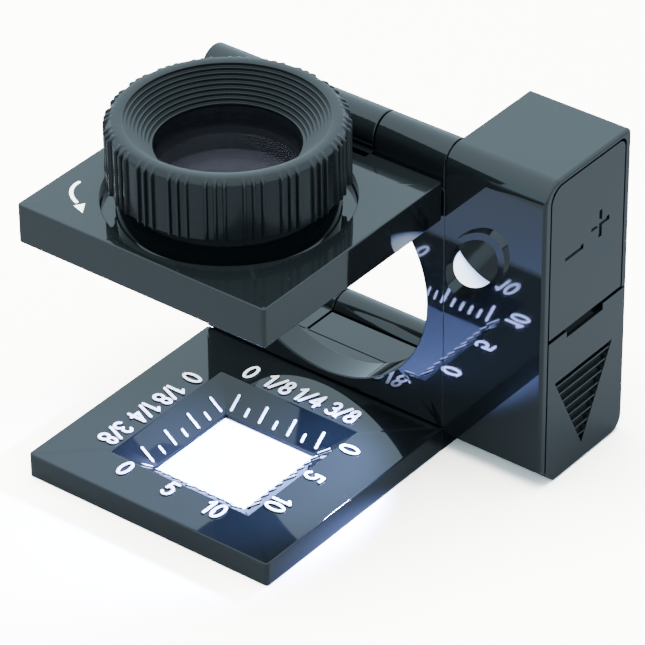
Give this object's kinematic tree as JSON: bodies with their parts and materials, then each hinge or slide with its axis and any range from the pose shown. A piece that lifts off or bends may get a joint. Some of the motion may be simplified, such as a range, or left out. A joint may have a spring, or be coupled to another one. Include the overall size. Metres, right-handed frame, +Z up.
{
  "type": "hand lens",
  "caption": "Folding illuminated stand magnifier: a focusing eyepiece on a hinged plate over a graduated base window, with a battery lamp case.",
  "frame": {"origin": "where the optical axis meets the surface under the specimen window", "axes": "+Z up along the optical axis; +Y from the window to the hinges at the rear; +X from the window to the battery case"},
  "size_m": [0.037, 0.0373, 0.0358],
  "materials": {
    "gloss_black": "black moulded styrene, polished mould",
    "satin_black": "black moulded plastic, satin",
    "white_marks": "white foil on raised marks",
    "lens_glass": "polished clear lens",
    "steel": "drawn steel wire and nickel cans",
    "contact_metal": "bent brass strip",
    "lamp_clear": "clear epoxy lamp, cool white",
    "lead_wire": "insulated wire",
    "resistor_body": "lacquered carbon film"
  },
  "bodies": {
    "frame": {"upright_plate": "gloss_black", "battery_case": "gloss_black", "side_cover": "gloss_black", "button_cell_lower": "steel", "button_cell_middle": "steel", "button_cell_upper": "steel", "lower_contact": "contact_metal", "upper_contact": "contact_metal", "lamp_led": "lamp_clear", "lamp_holder": "satin_black", "lamp_leads": "lead_wire", "resistor": "resistor_body", "switch_blade_live": "contact_metal", "switch_blade_fixed": "contact_metal", "base_hinge_pin": "steel", "hinge_barrel": "gloss_black"},
    "base": {"base_plate": "gloss_black", "scale_marks": "white_marks"},
    "battery_door": {"battery_door": "gloss_black"},
    "lens_plate": {"lens_plate": "gloss_black", "lens_hinge_pin": "steel"},
    "lens_cell": {"lens_cell": "satin_black", "upper_lens": "lens_glass", "lower_lens": "lens_glass", "lens_spacer": "satin_black", "lens_retainer": "satin_black"},
    "focus_ring": {"focus_ring": "satin_black", "snap_ring": "steel"}
  },
  "joints": [
    {"name": "base_fold", "type": "hinge", "parent": "frame", "child": "base", "pos_m": [0, 0.02329, 0.0018], "axis": [1, 0, 0], "range_deg": [0, 270]},
    {"name": "lens_fold", "type": "hinge", "parent": "frame", "child": "lens_plate", "pos_m": [0, 0.0146, 0.0293], "axis": [-1, 0, 0], "range_deg": [0, 270]},
    {"name": "door_slide", "type": "slide", "parent": "frame", "child": "battery_door", "axis": [0, 0, -1], "range_m": [0, 0.0125]},
    {"name": "focus_travel", "type": "slide", "parent": "lens_plate", "child": "lens_cell", "axis": [0, 0, 1], "range_m": [-0.0025, 0.0003]},
    {"name": "focus_turn", "type": "hinge", "parent": "lens_cell", "child": "focus_ring", "pos_m": [0, 0, 0.033], "axis": [0, 0, 1], "range_deg": [-226, 28]}
  ],
  "couplings": [
    {"joint": "focus_turn", "follows": "focus_travel", "rad_per_m": 1570.8}
  ]
}
